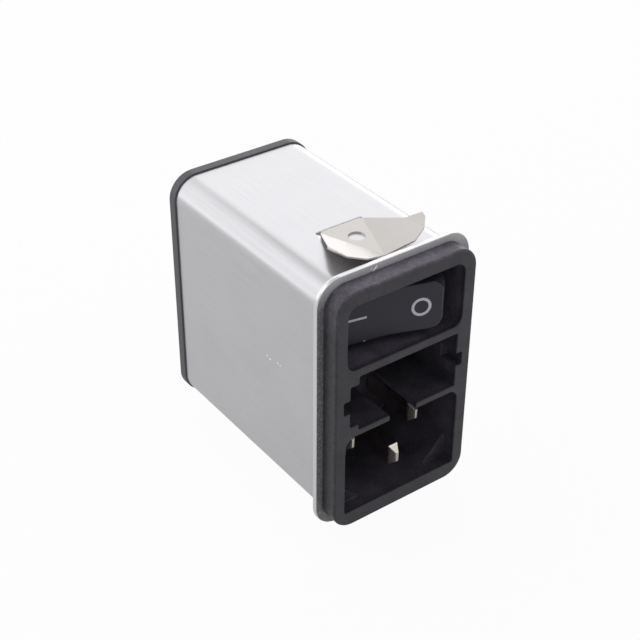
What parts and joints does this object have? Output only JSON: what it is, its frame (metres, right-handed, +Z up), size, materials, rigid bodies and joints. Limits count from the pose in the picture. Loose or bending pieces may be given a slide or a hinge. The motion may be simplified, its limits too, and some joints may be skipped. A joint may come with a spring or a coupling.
{
  "type": "power entry module",
  "caption": "Snap-in mains power entry module: flanged metal can with rocker switch, open fuse drawer slot, earthed mains inlet, line filter and rear quick-connect tabs.",
  "frame": {"origin": "centre of the flange's rear face, the plane that seats on the panel", "axes": "+X to the right seen from the front, +Y into the equipment, +Z up"},
  "size_m": [0.0314, 0.0578, 0.0548],
  "materials": {
    "can_metal": "brushed along the depth",
    "housing_plastic": "fine satin",
    "cover_plastic": "fine satin",
    "rocker_plastic": "satin",
    "spring_steel": "bright rolled",
    "plated_pin": "satin nickel",
    "brass": "tinned in part",
    "contact_copper": "stamped",
    "fuse_contact": "tinned",
    "earth_metal": "tinned",
    "plunger_plastic": "smooth",
    "base_plastic": "moulded",
    "line_insulation": "smooth",
    "neutral_insulation": "smooth",
    "board": "laminate",
    "ferrite": "coated",
    "enamelled_wire": "enamelled",
    "capacitor_film": "moulded",
    "capacitor_disc": "dipped",
    "resistor": "lacquered"
  },
  "bodies": {
    "case": {"can": "can_metal", "front_housing": "housing_plastic", "rear_cover": "cover_plastic", "top_spring_clip": "spring_steel", "bottom_spring_clip": "spring_steel", "line_common": "brass", "neutral_common": "brass", "line_fixed": "brass", "neutral_fixed": "brass", "switch_base": "base_plastic", "line_pin": "plated_pin", "neutral_pin": "plated_pin", "earth_pin": "plated_pin", "line_clip_in": "fuse_contact", "line_clip_out": "fuse_contact", "neutral_clip_in": "fuse_contact", "neutral_clip_out": "fuse_contact", "line_inlet_link": "brass", "neutral_inlet_link": "brass", "line_switch_link": "brass", "neutral_switch_link": "brass", "earth_strap": "earth_metal", "earth_rivet": "earth_metal", "line_lead": "line_insulation", "neutral_lead": "neutral_insulation", "filter_board": "board", "choke_core": "ferrite", "line_winding": "enamelled_wire", "neutral_winding": "enamelled_wire", "mains_capacitor": "capacitor_film", "line_capacitor": "capacitor_disc", "neutral_capacitor": "capacitor_disc", "bleed_resistor": "resistor", "line_tab": "brass", "neutral_tab": "brass", "earth_tab": "brass"},
    "rocker": {"rocker": "rocker_plastic", "line_plunger": "plunger_plastic", "neutral_plunger": "plunger_plastic", "line_spring": "spring_steel", "neutral_spring": "spring_steel"},
    "line_contact": {"line_contact": "contact_copper"},
    "neutral_contact": {"neutral_contact": "contact_copper"}
  },
  "joints": [
    {"name": "rocker_tilt", "type": "hinge", "parent": "case", "child": "rocker", "pos_m": [0, 0.004, 0.0152], "axis": [0, 0, 1], "range_deg": [0, 31]},
    {"name": "line_contact_tilt", "type": "hinge", "parent": "case", "child": "line_contact", "pos_m": [0, 0.01255, 0.0124], "axis": [0, 0, 1], "range_deg": [-12, 0]},
    {"name": "neutral_contact_tilt", "type": "hinge", "parent": "case", "child": "neutral_contact", "pos_m": [0, 0.01255, 0.018], "axis": [0, 0, 1], "range_deg": [-12, 0]}
  ],
  "couplings": [
    {"joint": "line_contact_tilt", "follows": "rocker_tilt", "ratio": -0.387},
    {"joint": "neutral_contact_tilt", "follows": "rocker_tilt", "ratio": -0.387}
  ]
}
